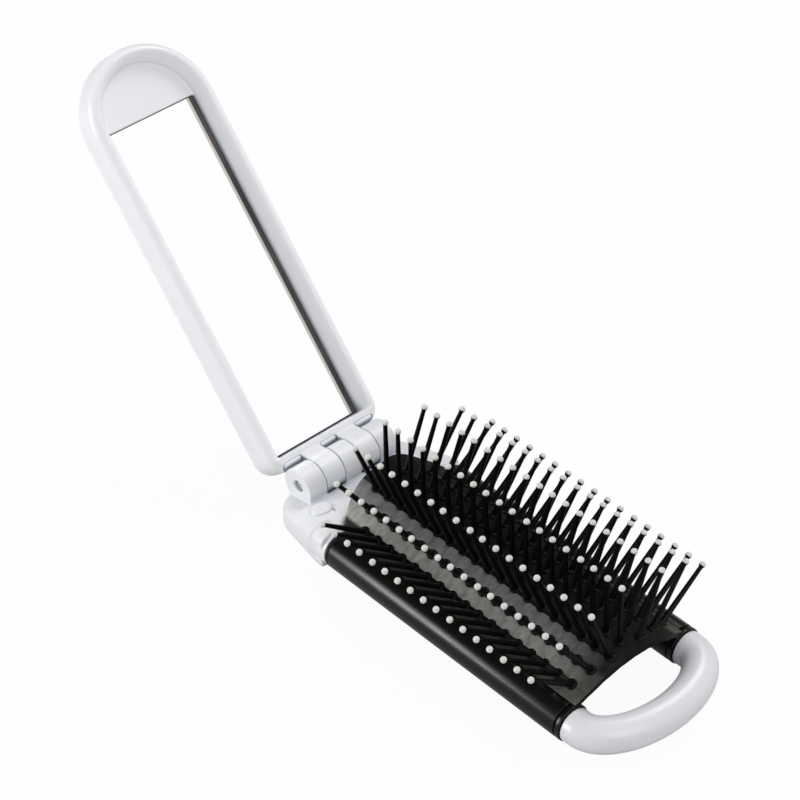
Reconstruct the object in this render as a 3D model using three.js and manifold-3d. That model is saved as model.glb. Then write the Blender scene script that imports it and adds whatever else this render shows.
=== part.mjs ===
// A folding pocket hairbrush with a mirror in its lid, opened for use.
// Millimetres, +Z up. The origin is on the floor, right under the hinge axis, +X runs toward the handle
// and the brush is alike on both sides of the plane y = 0, apart from the mirror.
import * as THREE from "three";
import { mergeVertices } from "three/addons/utils/BufferGeometryUtils.js";
import Module from "manifold-3d";

// Fits
const clearance = 0.3; // between a piece and its neighbour
const overrun = 6; // how far a cut runs past the face that it opens
const bite = 0.6; // how deep a joined form starts inside what carries it

// Round sides, in facets
const roundSides = 24;
const smallSides = 12;
const pinSides = 4;

// Hinge between block and lid
const hinge = {
  height: 8.35, // axis above the floor
  barrel: 4.15, // radius of the knuckles
  pin: 1.05, // radius of the steel pin
  halfWidth: 12.35, // outer faces of the outer knuckles
  outerKnuckle: 4.85, // width of an outer block knuckle
  middleKnuckle: 4.4, // width of the middle block knuckle
  sideGap: 0.3, // between neighbouring knuckles
  recess: 0.75, // how far the pin lies inside each end
  openDegrees: 131.5, // lid opening in the photograph, from closed
};

// Side rails, which turn between block and handle
const rail = {
  radius: 4.1,
  aside: 15.7, // axis from the middle plane
  start: 17.9, // end face toward the hinge
  end: 84.7, // end face toward the handle
  socket: 2.3, // radius of the bore in each end
  socketDepth: 5,
};

// Domed end of a rail, with its trunnion
const plug = { dome: 2.8, trunnion: 1.5, trunnionLength: 3.3, spigotLength: 4.2 };

// Ring between rail and handle
const collar = { radius: 4.1, width: 1.2 };

// White block at the hinge end, whose top rises toward the rails and whose sides flare that way
const block = {
  back: 3.8, // how far its back lies behind the hinge axis
  corner: 7.3, // radius of the two corners at its back, seen from above
  cornerAside: 10.1, // middle of each corner from the middle plane
  flareDegrees: 10, // of each side wall
  shoulderEnd: 15.3, // front face of the shoulders
  top: 5.4, // height of the top under the hinge axis
  riseDegrees: 10.5, // of the top
  topRound: 2,
  footRound: 0.6,
  roundSteps: 4,
  front: 10.85, // front edge of the deck in the middle plane
  frontRadius: 19.45, // round of that edge, which follows the pad
  skirt: 2.3, // how far a knuckle's flat front is let in below the top
};

// Round boss on each side of the deck
const boss = { ahead: 7.3, aside: 12.1, halfLength: 2.15, halfWidth: 2.4, height: 0.9 };

// Handle loop
const handle = { radius: 3.8, reach: 8.8, stub: 1.5, spigot: 2, spigotLength: 4.4, steps: 30 };

// Arched rubber pad
const pad = {
  crown: 13.65, // height of its top
  radius: 24.3, // of its upper face
  thickness: 1.2,
  start: 11.2, // hinge end in the middle plane
  startRadius: 19.1, // round of the hinge end
  pastRail: 2.6, // how far its middle reaches past the rails' handle ends
  endBow: 1.8, // how much shorter its edges are there
  steps: 20,
};

// Rows of pins, from the middle row outward
const pins = {
  pitch: 3.8,
  length: 15, // from the pad to the middle of the ball
  shaft: 0.55,
  foot: 0.9,
  footHeight: 0.75,
  ball: 0.83,
  stripWidth: 1.5,
  stripEnd: 1.1, // strip past the end pin
};
const rowCounts = [19, 19, 18, 17];
const rowTurns = [0, 9.72, 20.6, 31.23]; // degrees round the pad's arch
const rowLeans = [0, 21.2, 35.8, 52]; // degrees from upright
const reachShares = [0.947, 1.013, 1.007, 0.939]; // of the pin length
const endShares = [1.103, 0.716, 0.937, 1.25]; // of the pitch, from the pad's end to the last pin
const rowNames = ["d", "ec", "fb", "ga"];

// Lid, measured in its own frame: x along the lid from the hinge axis, z toward the brush
const lid = {
  near: 3.6, // end face from the hinge axis
  length: 83.8, // hinge axis to the middle of the round end
  halfWidth: 15.3,
  back: 8.3, // back face behind the hinge axis
  crest: 0.7, // rim behind the hinge axis
  floor: 4.1, // recess floor and mirror face behind the hinge axis
  floorHalfWidth: 11.5,
  wallSlope: 2.4, // how much wider the recess is at the rim
  rimRound: 2.2,
  backRound: 1.2,
  cornerRound: 4.5,
  bar: 0.9, // face of the bar beside the mirror, behind the hinge axis
  tabEnd: 5.3, // where a knuckle's slope meets that bar, from the hinge axis
  barEnd: 7, // where the mirror's pocket starts, from the hinge axis
  roundSteps: 5,
};

// Mirror, which lies a little to one side, and the tape that holds it and fills the wider gap
const mirror = {
  nearGap: 0.4, // from the start of its pocket
  farGap: 0.1, // from the middle of the lid's round end
  wideGap: 1.4, // beside its left edge, seen from its face with the hinge below
  narrowGap: 0.2, // beside its other edge
  thickness: 1.2,
  bevel: 0.45,
};
const tape = { thickness: 0.3, gap: 0.15 };

const wasm = await Module();
wasm.setup();

const X = new THREE.Vector3(1, 0, 0);
const Y = new THREE.Vector3(0, 1, 0);
const Z = new THREE.Vector3(0, 0, 1);
const sides = [-1, 1];
const radians = THREE.MathUtils.degToRad;

// Turns a geometry's own Z toward X, or its own Y toward X
const zToX = new THREE.Matrix4().makeBasis(Y, Z, X);
const yToX = new THREE.Matrix4().makeBasis(Z, X, Y);

// A closed geometry as a solid that can be joined and cut
function solid(geometry) {
  const bare = new THREE.BufferGeometry();
  bare.setAttribute("position", geometry.getAttribute("position"));
  if (geometry.index) bare.setIndex(geometry.index);
  const merged = mergeVertices(bare);
  return new wasm.Manifold(
    new wasm.Mesh({
      numProp: 3,
      vertProperties: merged.attributes.position.array,
      triVerts: new Uint32Array(merged.index.array),
    }),
  );
}

function join(...solids) {
  return solids.reduce((all, next) => all.add(next));
}

function cut(body, ...tools) {
  return tools.reduce((left, tool) => left.subtract(tool), body);
}

function boxBetween(low, high) {
  const size = high.clone().sub(low);
  const middle = low.clone().add(high).multiplyScalar(0.5);
  return solid(new THREE.BoxGeometry(size.x, size.y, size.z).translate(middle.x, middle.y, middle.z));
}

// A round rod along Y through (x, z), from y = low to y = high
function rodAlongY(radius, x, z, low, high, count = roundSides) {
  const rod = new THREE.CylinderGeometry(radius, radius, high - low, count);
  return solid(rod.translate(x, (low + high) / 2, z));
}

// A round rod along X through (y, z), from x = low to x = high
function rodAlongX(radius, y, z, low, high, count = roundSides) {
  const rod = new THREE.CylinderGeometry(radius, radius, high - low, count).applyMatrix4(yToX);
  return solid(rod.translate((low + high) / 2, y, z));
}

// A profile of (radius, place along the axis) turned round the X axis
function turnedAlongX(profile, count = roundSides) {
  const points = profile.map(([radius, along]) => new THREE.Vector2(radius, along));
  return new THREE.LatheGeometry(points, count).applyMatrix4(yToX);
}

// A plan outline made solid from z = low to z = high
function slab(outline, low, high, curveSegments = roundSides) {
  const depth = high - low;
  return solid(
    new THREE.ExtrudeGeometry(outline, { depth, bevelEnabled: false, curveSegments }).translate(0, 0, low),
  );
}

// A plan route lifted to one height, for a tube to follow
class LevelRoute extends THREE.Curve {
  constructor(plan, height) {
    super();
    this.plan = plan;
    this.height = height;
  }
  getPoint(share, target = new THREE.Vector3()) {
    const point = this.plan.getPoint(share);
    return target.set(point.x, point.y, this.height);
  }
}

function tube(plan, height, radius, steps) {
  const section = new THREE.Shape().absarc(0, 0, radius, 0, 2 * Math.PI);
  const extrudePath = new LevelRoute(plan, height);
  return solid(
    new THREE.ExtrudeGeometry(section, { extrudePath, steps, curveSegments: roundSides / 2 }),
  );
}

const white = new THREE.MeshStandardMaterial({ color: 0xe9ebf0, roughness: 0.28, metalness: 0 });
const black = new THREE.MeshStandardMaterial({ color: 0x17171a, roughness: 0.42, metalness: 0 });
const rubber = new THREE.MeshStandardMaterial({ color: 0x333336, roughness: 0.6, metalness: 0 });
const nylon = new THREE.MeshStandardMaterial({ color: 0x101012, roughness: 0.4, metalness: 0 });
const silvered = new THREE.MeshStandardMaterial({ color: 0xf2f4f6, roughness: 0.03, metalness: 1 });
const foam = new THREE.MeshStandardMaterial({ color: 0x0c0c0d, roughness: 0.9, metalness: 0 });
const steel = new THREE.MeshStandardMaterial({ color: 0xb4b6ba, roughness: 0.3, metalness: 1 });

function piece(name, body, material) {
  const made = body.getMesh();
  const geometry = new THREE.BufferGeometry();
  geometry.setAttribute("position", new THREE.BufferAttribute(made.vertProperties, made.numProp));
  geometry.setIndex(new THREE.BufferAttribute(made.triVerts, 1));
  const mesh = new THREE.Mesh(geometry.toNonIndexed(), material);
  mesh.geometry.computeVertexNormals();
  mesh.name = name;
  return mesh;
}

// Knuckles along the hinge, each with its two faces: block, lid, block, lid, block
const half = hinge.sideGap / 2;
const outerFace = hinge.halfWidth - hinge.outerKnuckle;
const middleFace = hinge.middleKnuckle / 2;
const blockKnuckles = [
  [-hinge.halfWidth, -outerFace - half],
  [-middleFace + half, middleFace - half],
  [outerFace + half, hinge.halfWidth],
];
const lidKnuckles = [
  [-outerFace + half, -middleFace - half],
  [middleFace + half, outerFace - half],
];
const boreRadius = hinge.pin + clearance;
const hingeSweep = hinge.barrel + clearance;

// The plate outline that the block's front edge and the pad's hinge end share: round toward the hinge
function roundFrontOutline(start, radius, halfWidth, far) {
  const middle = start + radius;
  const spread = Math.asin(halfWidth / radius);
  const outline = new THREE.Shape();
  outline.moveTo(far, -halfWidth);
  outline.lineTo(far, halfWidth);
  outline.absarc(middle, 0, radius, Math.PI - spread, Math.PI + spread, false);
  outline.closePath();
  return outline;
}

function domeProfile(radius, start) {
  const steps = roundSides / 4;
  return Array.from({ length: steps + 1 }, (_, i) => {
    const turn = (i / steps) * (Math.PI / 2);
    const rise = plug.trunnion + (radius - plug.trunnion) * Math.sin(turn);
    return [rise, start + plug.dome * (1 - Math.cos(turn))];
  });
}

const domeStart = rail.start - clearance - plug.dome;

// The block's plan outline out to x = far, drawn inside its widest line by a margin
function blockOutline(margin, far) {
  const turnX = block.corner - block.back;
  const radius = block.corner - margin;
  const flare = radians(block.flareDegrees);
  const end = far - margin;
  const endY =
    block.cornerAside + radius * Math.cos(flare) + (end - turnX + radius * Math.sin(flare)) * Math.tan(flare);
  const outline = new THREE.Shape();
  outline.moveTo(end, -endY);
  outline.lineTo(end, endY);
  outline.absarc(turnX, block.cornerAside, radius, Math.PI / 2 + flare, Math.PI, false);
  outline.absarc(turnX, -block.cornerAside, radius, Math.PI, 1.5 * Math.PI - flare, false);
  outline.closePath();
  return outline;
}

// The block's outer form between two levels, its edges rounded by one radius
function blockBlank(low, high, round, far) {
  return new THREE.ExtrudeGeometry(blockOutline(round, far), {
    depth: high - low - 2 * round,
    bevelThickness: round,
    bevelSize: round,
    bevelSegments: block.roundSteps,
    curveSegments: smallSides,
  }).translate(0, 0, low + round);
}

function makeHingeBlock() {
  const rise = Math.tan(radians(block.riseDegrees));
  const lean = new THREE.Matrix4().makeShear(0, rise, 0, 0, 0, 0);
  const topSide = blockBlank(-2 * overrun, block.top, block.topRound, block.shoulderEnd + overrun);
  const footSide = blockBlank(0, 2 * hinge.height, block.footRound, block.shoulderEnd);
  const frontCut = slab(
    roundFrontOutline(block.front, block.frontRadius, rail.aside - bite, rail.end),
    -overrun,
    pad.crown + overrun,
    2 * roundSides,
  );
  const lidSweeps = lidKnuckles.map(([low, high]) =>
    rodAlongY(hingeSweep, 0, hinge.height, low - hinge.sideGap, high + hinge.sideGap),
  );
  const body = cut(solid(topSide.applyMatrix4(lean)).intersect(solid(footSide)), frontCut, ...lidSweeps);

  const knuckles = blockKnuckles.map(([low, high]) => {
    const barrel = rodAlongY(hinge.barrel, 0, hinge.height, low, high);
    const skirt = boxBetween(
      new THREE.Vector3(0, low, block.top - block.skirt),
      new THREE.Vector3(hinge.barrel, high, hinge.height),
    );
    return join(barrel, skirt);
  });
  const bossFoot = block.top + (boss.ahead - boss.halfLength) * rise;
  const bossTop = block.top + boss.ahead * rise + boss.height;
  const bosses = sides.map((side) => {
    const oval = new THREE.Shape();
    oval.absellipse(boss.ahead, side * boss.aside, boss.halfLength, boss.halfWidth, 0, 2 * Math.PI);
    return slab(oval, bossFoot - bite, bossTop, smallSides);
  });

  // Cups for the domed rail ends, with the trunnion bores behind them
  const cups = sides.map((side) => {
    const wide = rail.radius + clearance;
    const bore = plug.trunnion + clearance;
    const back = domeStart - plug.trunnionLength - clearance;
    const profile = [
      [0, back],
      [bore, back],
      [bore, domeStart - clearance],
      ...domeProfile(wide, domeStart - clearance).slice(1),
      [wide, block.shoulderEnd + overrun],
      [0, block.shoulderEnd + overrun],
    ];
    return solid(turnedAlongX(profile).translate(0, side * rail.aside, rail.radius));
  });
  const bore = rodAlongY(
    boreRadius, 0, hinge.height, -hinge.halfWidth - overrun, hinge.halfWidth + overrun, smallSides,
  );
  return piece("hinge_block", cut(join(body, ...knuckles, ...bosses), ...cups, bore), white);
}

function makeRail(name) {
  const body = rodAlongX(rail.radius, 0, 0, rail.start, rail.end);
  const sockets = [
    rodAlongX(rail.socket, 0, 0, rail.start - overrun, rail.start + rail.socketDepth, smallSides),
    rodAlongX(rail.socket, 0, 0, rail.end - rail.socketDepth, rail.end + overrun, smallSides),
  ];
  return piece(name, cut(body, ...sockets), black);
}

function makePlug(name) {
  const face = rail.start - clearance;
  const spigot = rail.socket - clearance;
  const profile = [
    [0, domeStart - plug.trunnionLength],
    [plug.trunnion, domeStart - plug.trunnionLength],
    ...domeProfile(rail.radius, domeStart),
    [spigot, face],
    [spigot, face + plug.spigotLength],
    [0, face + plug.spigotLength],
  ];
  return piece(name, solid(turnedAlongX(profile)), black);
}

const collarStart = rail.end + clearance;
const handleStart = collarStart + collar.width + clearance;

function makeCollar(name) {
  const ring = rodAlongX(collar.radius, 0, 0, collarStart, collarStart + collar.width);
  const hole = rodAlongX(rail.socket, 0, 0, collarStart - overrun, handleStart + overrun, smallSides);
  return piece(name, cut(ring, hole), black);
}

function makeHandle() {
  const bend = handleStart + handle.stub;
  const plan = new THREE.Path();
  plan.moveTo(handleStart, -rail.aside);
  plan.lineTo(bend, -rail.aside);
  plan.absellipse(bend, 0, handle.reach, rail.aside, -Math.PI / 2, Math.PI / 2, false);
  plan.lineTo(handleStart, rail.aside);
  const loop = tube(plan, rail.radius, handle.radius, handle.steps);
  const spigotStart = rail.end - handle.spigotLength;
  const spigots = sides.map((side) =>
    rodAlongX(handle.spigot, side * rail.aside, rail.radius, spigotStart, handleStart + bite, smallSides),
  );
  return piece("handle_loop", join(loop, ...spigots), white);
}

// Pad and rows follow one arch, whose middle lies below the floor
const archHeight = pad.crown - pad.radius;

const padEnd = rail.end + pad.pastRail;

function rowPlaces() {
  return rowTurns.flatMap((turn, i) => {
    const last = padEnd - endShares[i] * pins.pitch;
    const first = last - (rowCounts[i] - 1) * pins.pitch;
    const row = { turn: radians(turn), lean: radians(rowLeans[i]), count: rowCounts[i] };
    row.length = reachShares[i] * pins.length;
    row.first = first;
    row.last = last;
    return [...rowNames[i]].map((letter, n) => ({ ...row, letter, side: n === 0 ? 1 : -1 }));
  });
}

// A bar let into the pad along a row, widened and deepened by a margin
function rowStrip(row, margin) {
  const low = row.first - pins.stripEnd - margin;
  const high = row.last + pins.stripEnd + margin;
  const deep = margin > 0 ? overrun : 0;
  const height = pad.thickness + 2 * deep;
  const bar = new THREE.BoxGeometry(high - low, pins.stripWidth + 2 * margin, height);
  bar.translate((low + high) / 2, 0, pad.radius - pad.thickness / 2);
  bar.rotateX(-row.side * row.turn);
  return solid(bar.translate(0, 0, archHeight));
}

function makePad() {
  const edgeTurn = Math.asin(rail.aside / pad.radius);
  const arch = new THREE.Shape();
  const inner = pad.radius - pad.thickness;
  arch.absarc(0, 0, pad.radius, Math.PI / 2 - edgeTurn, Math.PI / 2 + edgeTurn, false);
  arch.absarc(0, 0, inner, Math.PI / 2 + edgeTurn, Math.PI / 2 - edgeTurn, true);
  arch.closePath();
  const sheet = solid(
    new THREE.ExtrudeGeometry(arch, { depth: padEnd, bevelEnabled: false, curveSegments: pad.steps })
      .applyMatrix4(zToX)
      .translate(0, 0, archHeight),
  );
  const outline = roundFrontOutline(pad.start, pad.startRadius, rail.aside, padEnd - pad.endBow);
  const bow = new THREE.Shape();
  bow.absellipse(padEnd - pad.endBow, 0, pad.endBow, rail.aside, 0, 2 * Math.PI);
  const plan = join(
    slab(outline, 0, pad.crown + overrun, pad.steps),
    slab(bow, 0, pad.crown + overrun, pad.steps),
  );
  const railCuts = sides.flatMap((side) => [
    rodAlongX(rail.radius + clearance, side * rail.aside, rail.radius, 0, rail.end),
    rodAlongX(collar.radius + clearance, side * rail.aside, rail.radius, rail.end, padEnd + overrun),
  ]);
  const slots = rowPlaces().map((row) => rowStrip(row, clearance));
  return piece("bristle_pad", cut(sheet.intersect(plan), ...railCuts, ...slots), rubber);
}

function makeRow(row) {
  const ballTop = row.length + pins.ball;
  const profile = [
    [0, -bite],
    [pins.foot, -bite],
    [pins.foot, 0],
    [pins.shaft, pins.footHeight],
    [pins.shaft, row.length - pins.ball],
    [pins.ball, row.length],
    [pins.ball / 2, ballTop - pins.ball / 8],
    [0, ballTop],
  ].map(([radius, height]) => new THREE.Vector2(radius, height));
  const pin = new THREE.LatheGeometry(profile, pinSides, Math.PI / 4);
  pin.rotateX(Math.PI / 2 - row.side * row.lean);
  const footY = row.side * pad.radius * Math.sin(row.turn);
  const footZ = archHeight + pad.radius * Math.cos(row.turn);
  const all = Array.from({ length: row.count }, (_, i) =>
    solid(pin.clone().translate(row.first + i * pins.pitch, footY, footZ)),
  );
  return piece("bristle_row_" + row.letter, join(rowStrip(row, 0), ...all), nylon);
}

// The lid's plan outline, drawn inside its widest line by a margin
function lidOutline(margin) {
  const halfWidth = lid.halfWidth - margin;
  const round = lid.cornerRound - margin;
  const near = lid.near + margin;
  const outline = new THREE.Shape();
  outline.moveTo(near + round, -halfWidth);
  outline.lineTo(lid.length, -halfWidth);
  outline.absarc(lid.length, 0, halfWidth, -Math.PI / 2, Math.PI / 2, false);
  outline.lineTo(near + round, halfWidth);
  outline.absarc(near + round, halfWidth - round, round, Math.PI / 2, Math.PI, false);
  outline.lineTo(near, -halfWidth + round);
  outline.absarc(near + round, -halfWidth + round, round, Math.PI, 1.5 * Math.PI, false);
  outline.closePath();
  return outline;
}

// The lid's outer form between two levels, its edges rounded by one radius
function lidBlank(low, high, round) {
  const blank = new THREE.ExtrudeGeometry(lidOutline(round), {
    depth: high - low - 2 * round,
    bevelThickness: round,
    bevelSize: round,
    bevelSegments: lid.roundSteps,
    curveSegments: smallSides,
  });
  return solid(blank.translate(0, 0, low + round));
}

// Recess in the lid, whose walls slope outward toward the rim
function lidRecess() {
  const halfWidth = lid.floorHalfWidth;
  const outline = new THREE.Shape();
  outline.moveTo(lid.barEnd, -halfWidth);
  outline.lineTo(lid.length, -halfWidth);
  outline.absarc(lid.length, 0, halfWidth, -Math.PI / 2, Math.PI / 2, false);
  outline.lineTo(lid.barEnd, halfWidth);
  outline.closePath();
  const rise = lid.floor - lid.crest;
  const recess = new THREE.ExtrudeGeometry(outline, {
    depth: overrun,
    bevelThickness: rise,
    bevelSize: lid.wallSlope,
    bevelSegments: 1,
    curveSegments: smallSides,
  });
  return solid(recess.translate(0, 0, -lid.crest));
}

const pocketDepth = mirror.thickness + tape.thickness + clearance;
const mirrorNear = lid.barEnd + mirror.nearGap;
const mirrorFar = lid.length - mirror.farGap;
const mirrorLow = mirror.wideGap - lid.floorHalfWidth;
const mirrorHigh = lid.floorHalfWidth - mirror.narrowGap;

function makeLidFrame() {
  const rimSide = lidBlank(-lid.back - overrun, -lid.crest, lid.rimRound);
  const backSide = lidBlank(-lid.back, overrun, lid.backRound);
  const barDrop = boxBetween(
    new THREE.Vector3(0, -hinge.halfWidth - clearance, -lid.bar),
    new THREE.Vector3(lid.barEnd, hinge.halfWidth + clearance, overrun),
  );
  const pocket = boxBetween(
    new THREE.Vector3(lid.barEnd, -lid.floorHalfWidth, -lid.floor - pocketDepth),
    new THREE.Vector3(mirrorFar + clearance, lid.floorHalfWidth, overrun),
  );
  const sweeps = blockKnuckles.map(([low, high]) =>
    rodAlongY(hingeSweep, 0, 0, low - hinge.sideGap, high + hinge.sideGap),
  );
  const frame = cut(rimSide.intersect(backSide), lidRecess(), barDrop, pocket, ...sweeps);
  const tabs = lidKnuckles.map(([low, high]) => {
    const slope = hinge.barrel * Math.SQRT1_2;
    const profile = new THREE.Shape();
    profile.moveTo(0, 0);
    profile.lineTo(slope, slope);
    profile.lineTo(lid.tabEnd, -lid.bar);
    profile.lineTo(lid.barEnd, -lid.bar);
    profile.lineTo(lid.barEnd, -lid.back + lid.backRound);
    profile.lineTo(lid.near, -lid.back + lid.backRound);
    profile.lineTo(lid.near, -lid.bar);
    profile.closePath();
    const web = new THREE.ExtrudeGeometry(profile, { depth: high - low, bevelEnabled: false });
    const barrel = rodAlongY(hinge.barrel, 0, 0, low, high);
    return join(barrel, solid(web.rotateX(Math.PI / 2).translate(0, high, 0)));
  });
  const bore = rodAlongY(boreRadius, 0, 0, -lid.halfWidth, lid.halfWidth, smallSides);
  return piece("lid_frame", cut(join(frame, ...tabs), bore), white);
}

function makeMirror() {
  const outline = new THREE.Shape();
  outline.moveTo(mirrorNear + mirror.bevel, mirrorLow + mirror.bevel);
  outline.lineTo(mirrorFar - mirror.bevel, mirrorLow + mirror.bevel);
  outline.lineTo(mirrorFar - mirror.bevel, mirrorHigh - mirror.bevel);
  outline.lineTo(mirrorNear + mirror.bevel, mirrorHigh - mirror.bevel);
  outline.closePath();
  const glass = new THREE.ExtrudeGeometry(outline, {
    depth: mirror.thickness - 2 * mirror.bevel,
    bevelThickness: mirror.bevel,
    bevelSize: mirror.bevel,
    bevelSegments: 1,
  });
  const back = -lid.floor - mirror.thickness;
  return piece("mirror_glass", solid(glass.translate(0, 0, back + mirror.bevel)), silvered);
}

function makeTape() {
  const top = -lid.floor - mirror.thickness - tape.gap;
  const wide = lid.floorHalfWidth - tape.gap;
  const sheet = boxBetween(
    new THREE.Vector3(mirrorNear, -wide, top - tape.thickness),
    new THREE.Vector3(mirrorFar, wide, top),
  );
  const filler = boxBetween(
    new THREE.Vector3(mirrorNear, -wide, top - tape.thickness),
    new THREE.Vector3(mirrorFar, mirrorLow - tape.gap, -lid.floor - tape.thickness),
  );
  return piece("mirror_tape", join(sheet, filler), foam);
}

function makeHingePin() {
  const reach = hinge.halfWidth - hinge.recess;
  return piece("hinge_pin", rodAlongY(hinge.pin, 0, 0, -reach, reach, smallSides), steel);
}

// Base: block, handle and what turns between them
const base = new THREE.Group();
const hingePin = makeHingePin();
hingePin.position.z = hinge.height;
base.add(makeHingeBlock(), makeHandle(), makePad(), hingePin);
for (const side of sides) {
  const name = side < 0 ? "left" : "right";
  const line = new THREE.Group();
  line.position.set(0, side * rail.aside, rail.radius);
  line.add(makeRail(name + "_rail"), makePlug(name + "_rail_plug"), makeCollar(name + "_collar"));
  base.add(line);
}
for (const row of rowPlaces().filter((row) => row.turn > 0 || row.side > 0)) base.add(makeRow(row));

// Lid: modelled face up along +X, turned over to lie closed on the brush, then opened
const lidGroup = new THREE.Group();
lidGroup.position.set(0, 0, hinge.height);
lidGroup.rotation.y = -radians(hinge.openDegrees);
const faceDown = new THREE.Group();
faceDown.rotation.x = Math.PI;
faceDown.add(makeLidFrame(), makeMirror(), makeTape());
lidGroup.add(faceDown);

const brush = new THREE.Group();
brush.add(base, lidGroup);

export default brush;
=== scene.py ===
import math

import bmesh
import bpy
from mathutils import Matrix, Vector, noise


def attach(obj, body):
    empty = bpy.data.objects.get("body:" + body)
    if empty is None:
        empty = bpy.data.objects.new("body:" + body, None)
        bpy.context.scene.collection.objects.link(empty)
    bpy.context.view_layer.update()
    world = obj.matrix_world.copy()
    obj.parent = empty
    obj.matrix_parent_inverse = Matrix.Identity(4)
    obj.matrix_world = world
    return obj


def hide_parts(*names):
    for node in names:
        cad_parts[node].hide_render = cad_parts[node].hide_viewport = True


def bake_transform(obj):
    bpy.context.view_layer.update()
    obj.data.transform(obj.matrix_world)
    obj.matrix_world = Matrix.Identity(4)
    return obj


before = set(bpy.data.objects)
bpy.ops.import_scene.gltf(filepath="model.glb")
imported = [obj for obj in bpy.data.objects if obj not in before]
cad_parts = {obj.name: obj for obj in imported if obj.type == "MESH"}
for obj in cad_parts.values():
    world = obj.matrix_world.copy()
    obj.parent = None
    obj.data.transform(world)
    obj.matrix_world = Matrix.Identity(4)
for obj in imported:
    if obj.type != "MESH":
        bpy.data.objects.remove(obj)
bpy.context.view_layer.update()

MM = 0.001

# Hinge, with narrower side gaps than the solids have
HINGE_HEIGHT = 8.35 * MM
BARREL = 4.15 * MM
PIN_RADIUS = 1.05 * MM
PIN_EDGE = 0.2 * MM
BORE_CHAMFER = 0.35 * MM
HINGE_HALF = 12.35 * MM
OUTER_FACE = 7.5 * MM
MIDDLE_FACE = 2.2 * MM
SIDE_GAP = 0.1 * MM
HALF_GAP = SIDE_GAP / 2
RECESS = 0.75 * MM
CLEARANCE = 0.3 * MM
OPENING = math.radians(131.5)

# Where the knuckles, the spaces for the lid's knuckles and the bead bars start and end along the hinge
BLOCK_KNUCKLES = [
    (-HINGE_HALF, -OUTER_FACE - HALF_GAP),
    (-MIDDLE_FACE + HALF_GAP, MIDDLE_FACE - HALF_GAP),
    (OUTER_FACE + HALF_GAP, HINGE_HALF),
]
LID_KNUCKLES = [
    (-OUTER_FACE + HALF_GAP, -MIDDLE_FACE - HALF_GAP),
    (MIDDLE_FACE + HALF_GAP, OUTER_FACE - HALF_GAP),
]
LID_SPACES = [
    (-OUTER_FACE - HALF_GAP, -MIDDLE_FACE + HALF_GAP),
    (MIDDLE_FACE - HALF_GAP, OUTER_FACE + HALF_GAP),
]
BEADS = [
    (-HINGE_HALF - HALF_GAP, -OUTER_FACE - HALF_GAP),
    (-MIDDLE_FACE, MIDDLE_FACE),
    (OUTER_FACE + HALF_GAP, HINGE_HALF + HALF_GAP),
]

# Rails, plugs and collars
RAIL_RADIUS = 4.1 * MM
RAIL_ASIDE = 15.7 * MM
RAIL_START = 17.9 * MM
RAIL_END = 84.7 * MM
RAIL_EDGE = 0.12 * MM
COLLAR_WIDTH = 1.2 * MM
COLLAR_EDGE = 0.25 * MM
SOCKET = 2.3 * MM
DOME_LENGTH = 0.7 * MM
TRUNNION = 1.5 * MM
TRUNNION_START = 11.5 * MM
SPIGOT_RADIUS = 2 * MM
SPIGOT_LENGTH = 4.2 * MM

# Hinge block, with white seats round the trunnions of the rails
BLOCK_BACK = 3.8 * MM
BLOCK_CORNER = 7.3 * MM
CORNER_ASIDE = 10.1 * MM
FLARE_DEGREES = 10
SHOULDER_END = 16.1 * MM
SHOULDER_ROUND_START = 13.4 * MM
SEAT_END = 16.85 * MM
SEAT_RADIUS = 4 * MM
SEAT_EDGE = 0.15 * MM
BLOCK_TOP = 5.4 * MM
TOP_RISE = math.tan(math.radians(10.5))
TOP_ROUND = 2 * MM
FOOT_ROUND = 0.6 * MM
DECK_FRONT = 10.85 * MM
FRONT_RADIUS = 19.45 * MM
FRONT_HALF = 15.1 * MM
LIP_ROUND = 0.9 * MM
SKIRT = 2.3 * MM
SKIRT_TOP = 0.8 * MM

# Oval bosses on the block, the groove round each and the slot beside it
BOSS_AHEAD = 7.3 * MM
BOSS_ASIDE = 12.1 * MM
BOSS_LENGTH = 2.15 * MM
BOSS_WIDTH = 2.4 * MM
BOSS_RISE = 0.4 * MM
BOSS_ROUND = 0.3 * MM
GROOVE_WIDTH = 0.38 * MM
GROOVE_DEPTH = 0.25 * MM
SLOT_START = 8.9 * MM
SLOT_END = 10.3 * MM
SLOT_INNER = 10.35 * MM
SLOT_OUTER = 10.75 * MM
SLOT_DEPTH = 0.6 * MM

# Handle
HANDLE_RADIUS = 3.8 * MM
HANDLE_REACH = 8.8 * MM
HANDLE_STUB = 1.5 * MM
HANDLE_RING = 0.25 * MM
HANDLE_SPIGOT_START = 80.3 * MM

# Pad. Right of its middle its hinge end reaches further over the deck, by LONG_EDGE at LONG_EDGE_PLACE
PAD_CROWN = 13.65 * MM
PAD_RADIUS = 24.3 * MM
PAD_THICKNESS = 1.2 * MM
PAD_UPPER_END = 15.05 * MM
PAD_LOWER_END = 14.3 * MM
PAD_START = 11.2 * MM
PAD_START_RADIUS = 19.1 * MM
PAD_END = 87.3 * MM
PAD_BOW = 1.8 * MM
LONG_EDGE = 2.4 * MM
LONG_EDGE_PLACE = 7.5 * MM
LONG_EDGE_WIDTH = 4.5 * MM

# Rows of pins, from the middle row outward, with turns and leans in degrees
ROW_NAMES = ["d", "ec", "fb", "ga"]
ROW_COUNTS = [19, 19, 18, 17]
ROW_TURNS = [0, 9.72, 20.6, 31.23]
ROW_LEANS = [0, 21.2, 35.8, 52]
REACH_SHARES = [0.947, 1.013, 1.007, 0.939]
END_SHARES = [1.103, 0.716, 0.937, 1.25]
PITCH = 3.8 * MM
PIN_LENGTH = 15 * MM
SWAY_SEED = 4
SWAY = math.radians(1.2)
SWAY_ALONG = 1.7
SWAY_ACROSS = 3.1

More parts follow.
